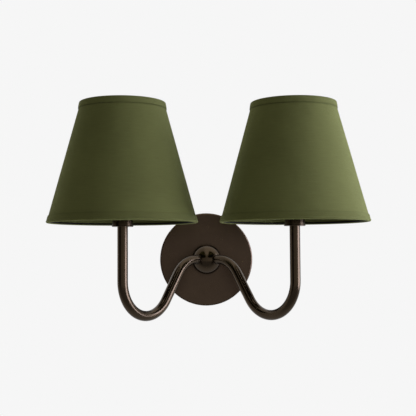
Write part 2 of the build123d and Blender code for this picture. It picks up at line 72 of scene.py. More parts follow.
# ---- the seam's strip: its width, its soft edge and how far it stands out (millimetres)
SEAM_W = 9.0
SEAM_EDGE = 0.8
SEAM_RISE = 0.22
SEAM_ANGLE = radians(90)

# ---- unevenness of the shade: how far (millimetres), and how often round it and up it
UNEVEN = 0.12
UNEVEN_LOBES = 3.0
UNEVEN_PITCH = 0.03
UNEVEN_SEED = {"left": 3.1, "right": 7.7}

# ---- trims (millimetres, neck in degrees), folded over a rim with room for its wire ring
TRIM_T = 0.32
TRIM_CLEAR = 0.06
TRIM_PUFF = 0.15
TRIM_INNER_H = 7.4
BOTTOM_TRIM = {"height": 8.2, "swell": 0.0, "roll": 1.3, "neck": 55}
TOP_TRIM = {"height": 7.6, "swell": 0.85, "roll": 1.2, "neck": 0}
RING_ROOM = 2.6
RING_EASE = 0.4
FACE_STEPS, ROLL_STEPS, FOLD_STEPS = 8, 12, 6

# ---- weave and painted shade under the trims' hems: thread pitch and shade width in metres, and how dark the painted shade gets
THREAD = 0.00045
HEM_SHADE_W = 0.0017
TOP_HEM_SHADE = 0.55
BOTTOM_HEM_SHADE = 0.8

# ---- bulbs and sockets (millimetres; profiles are of radius and height over the foot)
CAP_THREAD = {"pitch": 2.54, "depth": 0.45, "wall": 0.5, "fades": True}
CAP_FOOT, CAP_HEAD = 1.4, 0.6
CAP_STEPS_PER_TURN = 8
SOCKET_THREAD = {"pitch": 2.0, "depth": 0.3, "wall": 0.9, "fades": False}
SOCKET_FOOT, SOCKET_HEAD = 0.3, 0.4
SOCKET_OVER_CUP = 0.72
SOCKET_STEPS = 26
INSULATOR = [(0, 0.1), (3.4, 0.1), (4.7, 0.9), (5.4, 1.5), (5.3, 2.2), (0, 2.2)]
STEM = [(0, 0), (5.2, 0), (4.2, 1.5), (2.6, 5), (2.2, 14), (2.5, 22), (3.0, 24.5), (2.2, 26),
        (0, 26.4)]
FILAMENTS = 4
FILAMENT_R = 0.7
FILAMENT_FOOT = 27.0
FILAMENT_HEAD = 1.0
FILAMENT_FOOT_R, FILAMENT_HEAD_R = 4.6, 3.2
FILAMENT_START = pi / 4
FILAMENT_TWIST = 0.35
SUPPORT_R = 0.2
SUPPORT_DROP = 1.4
SUPPORT_BEND = 0.6
SUPPORT_SAG = 0.4

# ---- wire connectors, arms and their bead of braze (millimetres)
NUT_RIBS = 14
NUT_RIB_DEPTH = 0.35
NUT_STEPS_PER_RIB = 8
NUT_WALL = 2.4
NUT_END_WALL = 6.0
NUT_RIBS_FROM, NUT_RIBS_SHORT = 3.6, 2.0
ARM_TURN = radians(50)
ARM_TUBE_R = 6.35
BEAD_R = 0.32
BEAD_RISE = 0.12

# ---- camera, fitted to the photograph
CAMERA_AT = Vector((-0.02804, -1.20249, 0.00437))
CAMERA_PITCH = 0.0557
CAMERA_YAW = 0.0261
CAMERA_ROLL = -0.0060
CAMERA_FOCAL_PX = 862.5
CAMERA_CLIP = (0.01, 30)
FRAME_PX = 416
SENSOR_MM = 36.0

# ---- stage (metres); a sheen is its glow in reflections, at the two depths along Y
FLOOR_Z = -1.1
WALL_Y = 1.6
WALL_TOP = 3.0
STAGE_REACH = 4.0
PALE = 0.922
FLOOR_TONE = 0.65
FLOOR_SHADOW = 0.2
FLOOR_SHEEN = (0.2, 0.5)
WALL_SHEEN = (0.8, 0.8)
SHEEN_DEPTH = (-0.9, -0.2)

# ---- room: its glow on matt surfaces, and what reflections see of it, as (place, grey)
ROOM_GLOW = 0.195
GLOW_TINT = (1.03, 1.0, 0.94)
BRIGHT_SIDE = radians(150)
DARK_SIDE = radians(-57)
WALL_STOPS = [(0.0, 0.32), (0.25, 0.45), (0.5, 0.6), (0.95, PALE)]
CEILING_STOPS = [(0.25, 0.0), (0.7, 0.85)]
CEILING_LEFT_STOPS = [(0.2, 0.15), (0.45, 1.0)]
DARK_STOPS = [(0.90, 1.0), (0.975, 0.03)]

# ---- area lights: azimuth and elevation in degrees, distance, width and height in metres,
# radiance, tint, the point aimed at, and whether reflections show it
KEY_TINT = (0.96, 1.0, 1.3)
WHITE = (1, 1, 1)
AIM = (0, -0.12, 0.06)
LIGHTS = {
    "key_right": (80, 3, 1.0, 0.66, 0.85, 6.0, KEY_TINT, (0, -0.165, 0.06), True),
    "front_right": (38, 12, 1.2, 0.8, 0.8, 0.75, KEY_TINT, AIM, False),
    "back_right": (122, 6, 1.8, 1.2, 1.5, 2.7, KEY_TINT, AIM, False),
    "back_left": (-135, 5, 1.8, 1.4, 2.0, 1.3, WHITE, AIM, False),
    "bounce": (0, -85, 1.0, 1.6, 1.6, 0.4, WHITE, AIM, False),
}


# ---------------------------------------------------------------- shader nodes
class Graph:
    """A node tree, with short ways to add to it."""

    def __init__(self, tree):
        self.nodes, self.links = tree.nodes, tree.links

    def fill(self, node, inputs):
        """Set a node's inputs, each to a value or to another node's output."""
        for key, value in inputs.items():
            if isinstance(value, bpy.types.NodeSocket):
                self.links.new(value, node.inputs[key])
            else:
                node.inputs[key].default_value = value

    def add(self, kind, inputs=None, **settings):
        """Add a node, with its settings before its inputs."""
        node = self.nodes.new(f"ShaderNode{kind}")
        for key, value in settings.items():
            setattr(node, key, value)
        self.fill(node, inputs or {})
        return node

    def math(self, operation, *values):
        """The result of an operation on numbers or outputs."""
        return self.add("Math", dict(enumerate(values)), operation=operation).outputs[0]

    def split(self, vector):
        """The X, Y and Z of a vector."""
        return self.add("SeparateXYZ", {"Vector": vector}).outputs

    def ramp(self, source, stops):
        """Colour ramp fed by source, with stops of (place, colour or grey)."""
        node = self.add("ValToRGB", {"Fac": source})
        elements = node.color_ramp.elements
        while len(elements) < len(stops):
            elements.new(0.5)
        for element, (place_at, tone) in zip(elements, stops):
            colour = tone if isinstance(tone, tuple) else (tone,) * 3
            element.position = place_at
            element.color = (*colour, 1)
        return node.outputs["Color"]

    def noise(self, scale, detail=2.0):
        """Noise fixed to the object, scale in features per metre."""
        where = self.add("TexCoord").outputs["Object"]
        node = self.add("TexNoise", {"Vector": where, "Scale": scale, "Detail": detail})
        return node.outputs["Fac"]

    def cloudy(self, low, high, scale, detail=2.0):
        """A colour or grey that wanders between two over clouds fixed to the object."""
        return self.ramp(self.noise(scale, detail), [(0.3, low), (0.7, high)])

    def bump(self, height, distance, strength=1.0):
        """A normal pushed by height, distance in metres."""
        node = self.add("Bump", {"Height": height, "Distance": distance, "Strength": strength})
        return node.outputs["Normal"]

    def seen_directly(self, path):
        """1 for what the camera sees, through glass too, and 0 for any other ray."""
        return self.math("MAXIMUM", path["Is Camera Ray"], path["Is Transmission Ray"])


def scaled(colour, factor):
    return tuple(c * factor for c in colour)


# ---------------------------------------------------------------- materials
# clouds, grain and slubs in features per metre, dents in metres
METAL_GRAIN = 900.0
METAL_WANDER = 2.3
POLISHED_DENT = 0.0000003
PLASTIC_CLOUD = 90.0
PLASTIC_DENT = 0.00003
PLASTIC_VARY = 0.06
GLASS_CLOUD = 60.0
CLOTH_CLOUD = 22.0
CLOTH_SLUBS = (60, 900, 1)
CLOTH_VARY = 0.1
CLOTH_DENT = 0.00006
WEAVE_TONE = 0.12


def new_material(name):
    """A material with its graph and its shader."""
    mat = bpy.data.materials.new(name)
    mat.use_nodes = True
    graph = Graph(mat.node_tree)
    return mat, graph, graph.nodes["Principled BSDF"]


def metal(name, colour, roughness, spread, vary=0.1, metallic=1.0, cloud=38.0, dent=0.00002,
          coat=0.0, edge=1.0, specular=0.5):
    """Finished metal: a cloudy tone, a roughness that wanders, a fine grain and a lacquer.

    cloud is how fine the clouds are, dent the depth of the grain, and edge how much the metal
    mirrors at a glancing angle.
    """
    mat, graph, shader = new_material(name)
    dark, light = scaled(colour, 1 - vary), scaled(colour, 1 + vary)
    graph.fill(shader, {
        "Base Color": graph.cloudy(dark, light, cloud, 4.0),
        "Roughness": graph.cloudy(roughness - spread, roughness + spread,
                                  cloud * METAL_WANDER, 3.0),
        "Metallic": metallic,
        "Specular IOR Level": specular,
        "Specular Tint": (edge, edge, edge, 1),
        "Coat Weight": coat,
        "Coat Roughness": roughness * 0.7,
        "Normal": graph.bump(graph.noise(METAL_GRAIN), dent),
    })
    return mat


def plastic(name, colour, roughness, grain=1500.0, specular=0.5):
    """Moulded plastic with a slight orange peel."""
    mat, graph, shader = new_material(name)
    dark, light = scaled(colour, 1 - PLASTIC_VARY), scaled(colour, 1 + PLASTIC_VARY)
    graph.fill(shader, {
        "Base Color": graph.cloudy(dark, light, PLASTIC_CLOUD, 3.0),
        "Roughness": roughness,
        "Specular IOR Level": specular,
        "Normal": graph.bump(graph.noise(grain), PLASTIC_DENT),
    })
    return mat


def cloth(name, colour, hem_shades=()):
    """Plain weave on the piece's own UV, in metres: threads, slubs and a dusty sheen.

    Each painted shade is (place along V, tone): the cloth's colour darkens to that tone there, a
    painted shadow under a trim's hem.
    """
    mat, graph, shader = new_material(name)
    uv = graph.add("UVMap", uv_map="UVMap").outputs["UV"]
    along = graph.split(uv)
    warp, weft = (graph.math("SINE", graph.math("MULTIPLY", along[axis], 2 * pi / THREAD))
                  for axis in "XY")
    weave = graph.math("MULTIPLY", warp, weft)
    stretched = graph.add("Mapping", {"Vector": uv, "Scale": CLOTH_SLUBS}).outputs["Vector"]
    slub = graph.add("TexNoise", {"Vector": stretched, "Scale": 1.0, "Detail": 3.0}).outputs["Fac"]

    threads = graph.math("MULTIPLY_ADD", weave, WEAVE_TONE, slub)
    tone = graph.math("ADD", graph.math("MULTIPLY", threads, 0.5),
                      graph.math("MULTIPLY", graph.noise(CLOTH_CLOUD, 3.0), 0.5))
    tinted = graph.ramp(tone, [(0.3, scaled(colour, 1 - CLOTH_VARY)),
                               (0.7, scaled(colour, 1 + CLOTH_VARY))])
    # painted shade: a thin dark line in the cloth's colour where a trim's hem would shadow it
    for place_v, dark in hem_shades:
        away = graph.math("ABSOLUTE", graph.math("SUBTRACT", along["Y"], place_v))
        hem_shade = graph.ramp(graph.math("DIVIDE", away, HEM_SHADE_W), [(0.0, dark), (1.0, 1.0)])
        mix = graph.add("Mix", data_type="RGBA", blend_type="MULTIPLY")
        graph.fill(mix, {"Factor": 1.0, "A": tinted, "B": hem_shade})
        tinted = mix.outputs["Result"]
    graph.fill(shader, {
        "Base Color": tinted,
        "Roughness": 0.85,
        "Specular IOR Level": 0.04,
        "Sheen Weight": 0.22,
        "Sheen Roughness": 0.4,
        "Sheen Tint": (0.92, 1.0, 0.5, 1),
        "Normal": graph.bump(weave, CLOTH_DENT, strength=0.6),
    })
    return mat


def glass(name, tint):
    """Clear glass with a faint tint."""
    mat, graph, shader = new_material(name)
    graph.fill(shader, {
        "Base Color": graph.cloudy(scaled(tint, 0.98), tint, GLASS_CLOUD),
        "Transmission Weight": 1.0,
        "Roughness": 0.02,
        "IOR": 1.45,
    })
    return mat


OLIVE = (0.152, 0.160, 0.052)
TRIM_TONE = 0.92
BRONZE = (0.070, 0.048, 0.0275)
# the plate's bronze: the same dark bronze as the arms, made lighter as painted light on the plate
BRONZE_PLATE_LIT = (0.113, 0.079, 0.056)

bronze = metal("dark_bronze", BRONZE, 0.20, 0.02, vary=0.08, metallic=0.95,
               dent=POLISHED_DENT, coat=0.2)
# rougher than the arms' bronze, and its lighter colour is painted light
plate_bronze_lit = metal("dark_bronze_plate", BRONZE_PLATE_LIT, 0.30, 0.04, vary=0.08, cloud=26.0,
                     dent=POLISHED_DENT, edge=0.05)
bronze_ball = metal("dark_bronze_polished", BRONZE, 0.16, 0.02, vary=0.06, metallic=0.95,
                    dent=POLISHED_DENT, coat=0.2)
zinc = metal("zinc_plate", (0.56, 0.56, 0.54), 0.34, 0.08, cloud=70.0, dent=0.00004)
black_wire = metal("black_wire", (0.012, 0.012, 0.008), 0.6, 0.05, metallic=0.1, specular=0.1)
brass = metal("brass", (0.72, 0.50, 0.20), 0.24, 0.05)
solder = metal("solder", (0.60, 0.60, 0.58), 0.38, 0.06)
green_paint = metal("green_paint", (0.02, 0.20, 0.06), 0.38, 0.05, metallic=0.2)
phenolic = plastic("phenolic", (0.022, 0.020, 0.019), 0.38)
connector = plastic("connector_orange", (0.62, 0.20, 0.02), 0.34)
black_sleeve = plastic("black_sleeve", (0.018, 0.018, 0.018), 0.42)
white_sleeve = plastic("white_sleeve", (0.72, 0.72, 0.69), 0.42)
green_sleeve = plastic("green_sleeve", (0.02, 0.18, 0.05), 0.42)
trim_cloth = cloth("olive_trim_cloth", scaled(OLIVE, TRIM_TONE))
liner_mat = plastic("dark_liner", (0.008, 0.0088, 0.004), 0.9, grain=600.0, specular=0.05)
clear_glass = glass("clear_glass", (0.97, 0.98, 0.98))
phosphor = plastic("phosphor", (0.85, 0.55, 0.08), 0.5)


# ---------------------------------------------------------------- mesh helpers
def place(name, verts, faces, material, body, uvs=None, sharp_angle=SHARP_ANGLE):
    """Make a mesh piece in metres, smooth it, give it its material and let it ride."""
    mesh = bpy.data.meshes.new(name)
    mesh.from_pydata(verts, [], faces)
    mesh.validate()
    if uvs:
        layer = mesh.uv_layers.new(name="UVMap")
        for loop in mesh.loops:
            layer.data[loop.index].uv = uvs[loop.index]
    mesh.materials.append(material)
    mesh.shade_smooth()
    mesh.set_sharp_from_angle(angle=radians(sharp_angle))
    mesh.update()
    piece = bpy.data.objects.new(name, mesh)
    bpy.context.scene.collection.objects.link(piece)
    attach(piece, body)
    return piece


def weld(piece):
    """Join the doubled points on the axis of a turned piece."""
    work = bmesh.new()
    work.from_mesh(piece.data)
    bmesh.ops.remove_doubles(work, verts=work.verts, dist=AXIS_WELD)
    work.to_mesh(piece.data)
    work.free()


def turned_faces(profile, segments):
    """Faces of a closed profile of (r, place) turned round its axis.

    A face is a list of corners (turn, row), which run on past the last turn and row. On the
    axis it is a triangle, and a stretch of the profile along the axis makes none.
    """
    rows = len(profile)
    for i in range(segments):
        for k in range(rows):
            starts_on_axis = profile[k][0] == 0
            ends_on_axis = profile[(k + 1) % rows][0] == 0
            if starts_on_axis and ends_on_axis:
                continue
            corners = [(i, k), (i + 1, k), (i + 1, k + 1), (i, k + 1)]
            if starts_on_axis:
                corners.pop(0)
            elif ends_on_axis:
                corners.pop(2)
            yield corners


def corner_points(corners, segments, rows):
    """Point numbers of a turned face's corners."""
    return [i % segments * rows + k % rows for i, k in corners]


def revolve(name, profile, centre, material, body, segments, radius=None,
            sharp_angle=SHARP_ANGLE):
    """Turn a closed profile of (r, z) millimetres about an upright axis through centre, in metres.

    The profile runs counter-clockwise, seen with r to the right and z up. radius(r, z, angle)
    may move a point in or out. The UV is in metres, round the piece and along its profile.
    """
    rows = len(profile)
    verts = []
    for i in range(segments):
        angle = 2 * pi * i / segments
        for r, z in profile:
            if radius:
                r = radius(r, z, angle)
            verts.append((centre.x + r * MM * cos(angle), centre.y + r * MM * sin(angle), z * MM))
    along = [0.0]
    for (r0, z0), (r1, z1) in zip(profile, profile[1:] + profile[:1]):
        along.append(along[-1] + hypot(r1 - r0, z1 - z0) * MM)
    mean_r = sum(r for r, _ in profile) / rows * MM
    faces, uvs = [], []
    for corners in turned_faces(profile, segments):
        faces.append(corner_points(corners, segments, rows))
        uvs += [(2 * pi * i / segments * mean_r, along[k]) for i, k in corners]
    piece = place(name, verts, faces, material, body, uvs, sharp_angle)
    if min(profile)[0] == 0:
        weld(piece)
    return piece


def thicken(path, thickness):
    """Close an open path of (r, z) into a ribbon: the path, and itself moved to its left."""
    offset = []
    for i, (r, z) in enumerate(path):
        r0, z0 = path[max(i - 1, 0)]
        r1, z1 = path[min(i + 1, len(path) - 1)]
        length = hypot(r1 - r0, z1 - z0)
        offset.append((r - (z1 - z0) / length * thickness, z + (r1 - r0) / length * thickness))
    return path + offset[::-1]


def circle(centre, across, up, radius, count):
    """Points of a circle round centre, in the plane of two unit vectors."""
    turns = [2 * pi * i / count for i in range(count)]
    return [centre + (across * cos(a) + up * sin(a)) * radius for a in turns]


def tube(name, points, radius, material, body, sides, closed=False):
    """Round wire along points in metres, with flat ends unless it is closed."""
    count = len(points)
    verts, faces = [], []
    for i, point in enumerate(points):
        before = points[i - 1] if (closed or i > 0) else point
        after = points[(i + 1) % count] if (closed or i < count - 1) else point
        ahead = (after - before).normalized()
        upright = ahead.cross(UP).length < 1e-3
        across = ahead.cross(BACK if upright else UP).normalized()
        verts += circle(point, across, across.cross(ahead), radius, sides)
    for i in range(count if closed else count - 1):
        j = (i + 1) % count
        for s in range(sides):
            t = (s + 1) % sides
            faces.append((i * sides + s, i * sides + t, j * sides + t, j * sides + s))
    if not closed:
        faces.append(tuple(range(sides))[::-1])
        faces.append(tuple((count - 1) * sides + s for s in range(sides)))
    return place(name, verts, faces, material, body)


def size_of(node):
    """Low and high corner of a CAD node's box, in millimetres."""
    low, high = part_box(node)
    return Vector(low) / MM, Vector(high) / MM


def axis_of(low, high):
    """The upright middle line of a box in millimetres, as its point at z = 0, in metres."""
    return Vector(((low.x + high.x) / 2 * MM, (low.y + high.y) / 2 * MM, 0))


# ---------------------------------------------------------------- shades
class Cone:
    """The shade's outer surface in millimetres, read from its CAD trims."""

    def __init__(self, side):
        low, high = size_of(f"{side}_shade_bottom_trim")
        top_low, top_high = size_of(f"{side}_shade_top_trim")
        self.z0, self.z1 = low.z, top_high.z
        self.r0 = (high.x - low.x) / 2
        self.r_band = (top_high.x - top_low.x) / 2
        self.taper = (self.r0 - self.r_band) / (top_low.z - self.z0)
        self.centre = axis_of(low, high)

    def r(self, z):
        """Radius at height z."""
        return self.r0 - self.taper * (z - self.z0)


def uneven(side):
    """A radius for revolve with hand-made unevenness: a slow change round the shade."""
    seed = UNEVEN_SEED[side]

    def radius(r, z, angle):
        here = Vector((cos(angle) * UNEVEN_LOBES, sin(angle) * UNEVEN_LOBES,
                       z * UNEVEN_PITCH + seed))
        return r + UNEVEN * noise.noise(here)
    return radius


def seam_bulge(r, angle):
    """How far the cloth's overlap stands out, in a strip at the back of the shade."""
    away = abs((angle - SEAM_ANGLE + pi) % (2 * pi) - pi) * r
    return SEAM_RISE * min(max((SEAM_W / 2 + SEAM_EDGE - away) / SEAM_EDGE, 0.0), 1.0)


def shade_cloth(side, cone):
    """The shade's cloth, with a painted shadow line under each trim's hem."""
    slant = hypot(1.0, cone.taper) * MM
    low = cone.z0 + CLOTH_END
    bottom_hem = (cone.z0 + BOTTOM_TRIM["height"] - low) * slant
    top_hem = (cone.z1 - TOP_TRIM["height"] - low) * slant
    return cloth(f"{side}_olive_cloth", OLIVE,
                 [(bottom_hem, BOTTOM_HEM_SHADE), (top_hem, TOP_HEM_SHADE)])


def make_cloth(side, cone, body):
    """Outer cloth with its lapped seam at the back."""
    low, high = cone.z0 + CLOTH_END, cone.z1 - CLOTH_END
    heights = [low + (high - low) * i / CLOTH_STEPS for i in range(CLOTH_STEPS + 1)]
    outer = [(cone.r(z) - CLOTH_INSET, z) for z in heights]
    inner = [(r - CLOTH_T, z) for r, z in outer]
    outer_r = {z: r for r, z in outer}
    wobble = uneven(side)

    def radius(r, z, angle):
        lift = seam_bulge(r, angle) if r >= outer_r[z] else 0.0
        return wobble(r, z, angle) + lift

    piece = revolve(f"{side}_shade_cloth", outer + inner[::-1], cone.centre,
                    shade_cloth(side, cone), body, SHADE_SEGMENTS, radius=radius)
    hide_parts(f"{side}_shade_skin")
    return piece


def make_liner(side, cone, body):
    """Stiff dark liner that the cloth is laminated to."""
    gap = CLOTH_INSET + CLOTH_T + LINER_GLUE
    low, high = cone.z0 + CLOTH_END, cone.z1 - CLOTH_END
    profile = [
        (cone.r(low) - gap, low), (cone.r(high) - gap, high),
        (cone.r(high) - gap - LINER_T, high), (cone.r(low) - gap - LINER_T, low),
    ]
    piece = revolve(f"{side}_shade_liner", profile, cone.centre, liner_mat, body, SHADE_SEGMENTS,
                    radius=uneven(side))
    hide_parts(f"{side}_shade_skin")


def trim_path(cone, edge_z, way, shape):
    """Outer face of a folded trim, from its outer hem round the rim's roll to its inner hem.

    way is 1 for the trim that stands up from the lower edge, -1 for the one that hangs from
    the upper. neck is how far round its roll, in degrees, the cloth first meets it.
    """
    skin = CLOTH_INSET + CLOTH_T + LINER_GLUE + LINER_T
    over = TRIM_T + TRIM_CLEAR - CLOTH_INSET
    roll, neck = shape["roll"], radians(shape["neck"])
    hem_z = edge_z + way * shape["height"]
    meet_z = edge_z + way * roll * (1 + sin(neck))
    path = []
    for i in range(FACE_STEPS + 1):
        t = i / FACE_STEPS
        z = hem_z + (meet_z - hem_z) * t
        path.append((cone.r(z) + over + shape["swell"] * t + TRIM_PUFF * sin(pi * t), z))
    roll_r = path.pop()[0] - roll * cos(neck)
    for i in range(ROLL_STEPS + 1):
        a = neck - (neck + pi / 2) * i / ROLL_STEPS
        path.append((roll_r + roll * cos(a), edge_z + way * roll * (1 + sin(a))))
    fold_r = cone.r(edge_z) - skin - RING_ROOM
    for i in range(FOLD_STEPS + 1):
        a = pi / 2 * i / FOLD_STEPS
        path.append((fold_r + roll * (1 - sin(a)), edge_z + way * roll * (1 - cos(a))))
    path.append((fold_r, edge_z + way * (RING_ROOM + RING_EASE)))
    inner_hem = edge_z + way * TRIM_INNER_H
    path.append((cone.r(inner_hem) - skin - TRIM_T, inner_hem))
    return path


def make_trim(side, name, cone, edge_z, way, shape, body):
    """Cloth band folded round one edge of the shade."""
    band = thicken(trim_path(cone, edge_z, way, shape), way * TRIM_T)
    piece = revolve(f"{side}_{name}_band", band[::-way], cone.centre, trim_cloth, body,
                    SHADE_SEGMENTS, radius=uneven(side))
    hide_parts(f"{side}_shade_{name}")
    return piece


def cut_size(cone):
    """Flat pattern of the cone without its lap: overall width, length and area, in metres."""
    slant = hypot(cone.z1 - cone.z0, cone.r0 - cone.r(cone.z1)) * MM
    sine = (cone.r0 - cone.r(cone.z1)) * MM / slant
    outer = cone.r0 * MM / sine
    inner = outer - slant
    half = pi * sine
    width = 2 * outer * sin(half)
    length = outer - inner * cos(half)
    area = half * (outer ** 2 - inner ** 2)
    return width, length, area


def make_shade(side):
    """Cloth on its liner between two trims."""
    cone = Cone(side)
    body = f"{side}_shade"
    cloth_piece = make_cloth(side, cone, body)
    make_liner(side, cone, body)
    bottom = make_trim(side, "bottom_trim", cone, cone.z0, 1, BOTTOM_TRIM, body)
    top = make_trim(side, "top_trim", cone, cone.z1, -1, TOP_TRIM, body)
    width, length, area = cut_size(cone)


# ---------------------------------------------------------------- bulbs and sockets
def threaded(name, centre, r, z0, z1, steps, thread, material, body):
    """Sleeve with a rounded screw thread, which may fade out towards its ends."""
    pitch, depth = thread["pitch"], thread["depth"]
    outer = [(r, z0 + (z1 - z0) * i / steps) for i in range(steps + 1)]
    inner = [(r - thread["wall"], z1), (r - thread["wall"], z0)]

    def radius(here, z, angle):
        if here < r:
            return here
        fade = min((z - z0) / pitch, (z1 - z) / pitch, 1.0) if thread["fades"] else 1.0
        return here - depth * (0.5 - 0.5 * cos(2 * pi * (z / pitch - angle / (2 * pi)))) * fade

    return revolve(name, outer + inner, centre, material, body, THREAD_SEGMENTS, radius=radius,
                   sharp_angle=THREAD_SHARP_ANGLE)


def raised(profile, z):
    """A profile moved up by z."""
    return [(r, z + rise) for r, rise in profile]


def make_bulb(side):
    """Threaded cap with its insulator, glass stem, support wires and filaments."""
    body = f"{side}_bulb"
    low, high = size_of(f"{side}_bulb_cap")
    centre = axis_of(low, high)
    z0, z1 = low.z + CAP_FOOT, high.z - CAP_HEAD
    steps = int((z1 - z0) / CAP_THREAD["pitch"] * CAP_STEPS_PER_TURN)
    cap = threaded(f"{side}_cap_thread", centre, (high.x - low.x) / 2, z0, z1, steps, CAP_THREAD,
                   brass, body)
    insulator = revolve(f"{side}_cap_insulator", raised(INSULATOR, low.z), centre, phenolic, body,
                        INSULATOR_SEGMENTS)
    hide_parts(f"{side}_bulb_cap")

    low, high = size_of(f"{side}_bulb_stem")
    stem = revolve(f"{side}_stem_glass", raised(STEM, low.z), centre, clear_glass, body,
                   STEM_SEGMENTS)
    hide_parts(f"{side}_bulb_stem")

    foot = centre + UP * (low.z + FILAMENT_FOOT) * MM
    crown = centre + UP * (high.z - FILAMENT_HEAD) * MM
    root = foot - UP * SUPPORT_DROP * MM
    for i in range(FILAMENTS):
        a = 2 * pi * i / FILAMENTS + FILAMENT_START
        twisted = a + FILAMENT_TWIST
        base = foot + (RIGHT * cos(a) + BACK * sin(a)) * FILAMENT_FOOT_R * MM
        tip = crown + (RIGHT * cos(twisted) + BACK * sin(twisted)) * FILAMENT_HEAD_R * MM
        rod = tube(f"{side}_filament_{i + 1}", [base, base.lerp(tip, 0.5), tip], FILAMENT_R * MM,
                   phosphor, body, ROD_SIDES)
        sag = root.lerp(base, SUPPORT_BEND) - UP * SUPPORT_SAG * MM
        wire = tube(f"{side}_filament_lead_{i + 1}", [root, sag, base], SUPPORT_R * MM, zinc,
                    body, WIRE_SIDES)
    bend = circle(crown, RIGHT, BACK, FILAMENT_HEAD_R * MM, WIRE_RING_STEPS)
    ring = tube(f"{side}_filament_ring", bend, SUPPORT_R * MM, zinc, body, WIRE_SIDES,
                closed=True)


def make_socket_thread(side):
    """The moulded thread above the shade ring."""
    ring_high = size_of(f"{side}_shade_ring")[1]
    socket_low, socket_high = size_of(f"{side}_socket")
    cup_low, cup_high = size_of(f"{side}_socket_cup")
    piece = threaded(f"{side}_socket_thread", axis_of(socket_low, socket_high),
                     (cup_high.x - cup_low.x) / 2 + SOCKET_OVER_CUP,
                     ring_high.z + SOCKET_FOOT, socket_high.z - SOCKET_HEAD, SOCKET_STEPS,
                     SOCKET_THREAD, phenolic, "fixture")


# ---------------------------------------------------------------- fixture details
def make_wire_nut(node):
    """Ribbed wire connector, its bore open towards the middle of the fixture."""
    low, high = size_of(node)
    way = 1 if low.x > 0 else -1
    mouth_x = low.x if way > 0 else high.x
    length = high.x - low.x
    axis_y, axis_z = (low.y + high.y) / 2, (low.z + high.z) / 2
    r = (high.z - low.z) / 2
    bore = r - NUT_WALL
    bore_end = length - NUT_END_WALL
    ribs_to = length - NUT_RIBS_SHORT
    # radius and place from the mouth, along the lip, collar, cone, end and bore
    profile = [
        (bore, 0.4), (bore + 0.5, 0), (r - 0.4, 0), (r, 0.5),
        (r, 3.0), (r - 0.5, NUT_RIBS_FROM), (r - 0.2, 4.6), (r - 0.25, 10),
        (r - 1.0, 14), (r - 1.9, length - 1.4),
        (r - 2.8, length - 0.2), (0, length),
        (0, bore_end), (bore, bore_end), (bore, 4),
    ]
    segments = NUT_RIBS * NUT_STEPS_PER_RIB
    verts = []
    for i in range(segments):
        a = 2 * pi * i / segments
        for out, along in profile:
            if NUT_RIBS_FROM < along < ribs_to and out > bore:
                out -= NUT_RIB_DEPTH * (0.5 - 0.5 * cos(a * NUT_RIBS))
            verts.append(((mouth_x + way * along) * MM, (axis_y + out * cos(a)) * MM,
                          (axis_z + out * sin(a)) * MM))
    faces = [corner_points(corners, segments, len(profile))[::way]
             for corners in turned_faces(profile, segments)]
    piece = place(f"{node}_ribbed", verts, faces, connector, "fixture")
    weld(piece)
    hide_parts(node)


def make_bead(side, sign):
    """Bead of braze where the arm meets the ball."""
    low, high = size_of("hub_ball")
    hub_r = (high.z - low.z) / 2
    hub = Vector((0, low.y + hub_r, (low.z + high.z) / 2))
    out = Vector((sign * cos(ARM_TURN), -sin(ARM_TURN), 0))
    away = sqrt(hub_r ** 2 - ARM_TUBE_R ** 2) + BEAD_RISE
    ring = circle((hub + out * away) * MM, out.cross(UP), UP, (ARM_TUBE_R + BEAD_RISE) * MM,
                  BEAD_STEPS)
    bead = tube(f"{side}_braze_bead", ring, BEAD_R * MM, bronze, "fixture", ROD_SIDES,
                closed=True)


# ---------------------------------------------------------------- finishes on CAD nodes
FINISH = {
    "canopy": plate_bronze_lit, "canopy_screws": bronze, "mounting_strap": zinc,
    "ground_screw": green_paint, "ground_tag": brass, "ground_lead": green_sleeve,
    "hub_ball": bronze_ball, "centre_nipple": zinc, "lock_washer": zinc, "centre_nut": zinc,
    "arm": bronze, "arm_nipple": zinc, "socket_cup": bronze, "cup_nut": zinc,
    "socket": phenolic, "screw_shell": brass, "centre_contact": brass, "shade_ring": phenolic,
    "black_lead": black_sleeve, "white_lead": white_sleeve,
    "shade_top_ring": black_wire, "shade_fitter": black_wire,
    "bulb_tip": solder, "bulb_glass": clear_glass,
}


def finish_nodes():
    """Give every CAD node that stays its own finish."""
    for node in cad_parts:
        side, _, rest = node.partition("_")
        finish = FINISH.get(rest if side in SIDES else node)
        if finish:
            for holder in bpy.data.objects[node].material_slots:
                holder.material = finish


# ---------------------------------------------------------------- surroundings
def soft_light(name, azimuth, elevation, distance, width, height, radiance, tint, aim, glossy):
    """Area light round the object: azimuth 0 is at the camera, 90 at its right hand."""
    a, e = radians(azimuth), radians(elevation)
    aim = Vector(aim)
    at = aim + distance * Vector((sin(a) * cos(e), -cos(a) * cos(e), sin(e)))
    lamp = bpy.data.lights.new(name, "AREA")
    lamp.shape = "RECTANGLE"
    lamp.size = width
    lamp.size_y = height
    lamp.energy = pi * width * height * radiance
    lamp.color = tint
    obj = bpy.data.objects.new(name, lamp)
    obj.location = at
    obj.rotation_euler = (aim - at).to_track_quat("-Z", "Y").to_euler()
    obj.visible_camera = False
    obj.visible_glossy = glossy
    bpy.context.scene.collection.objects.link(obj)


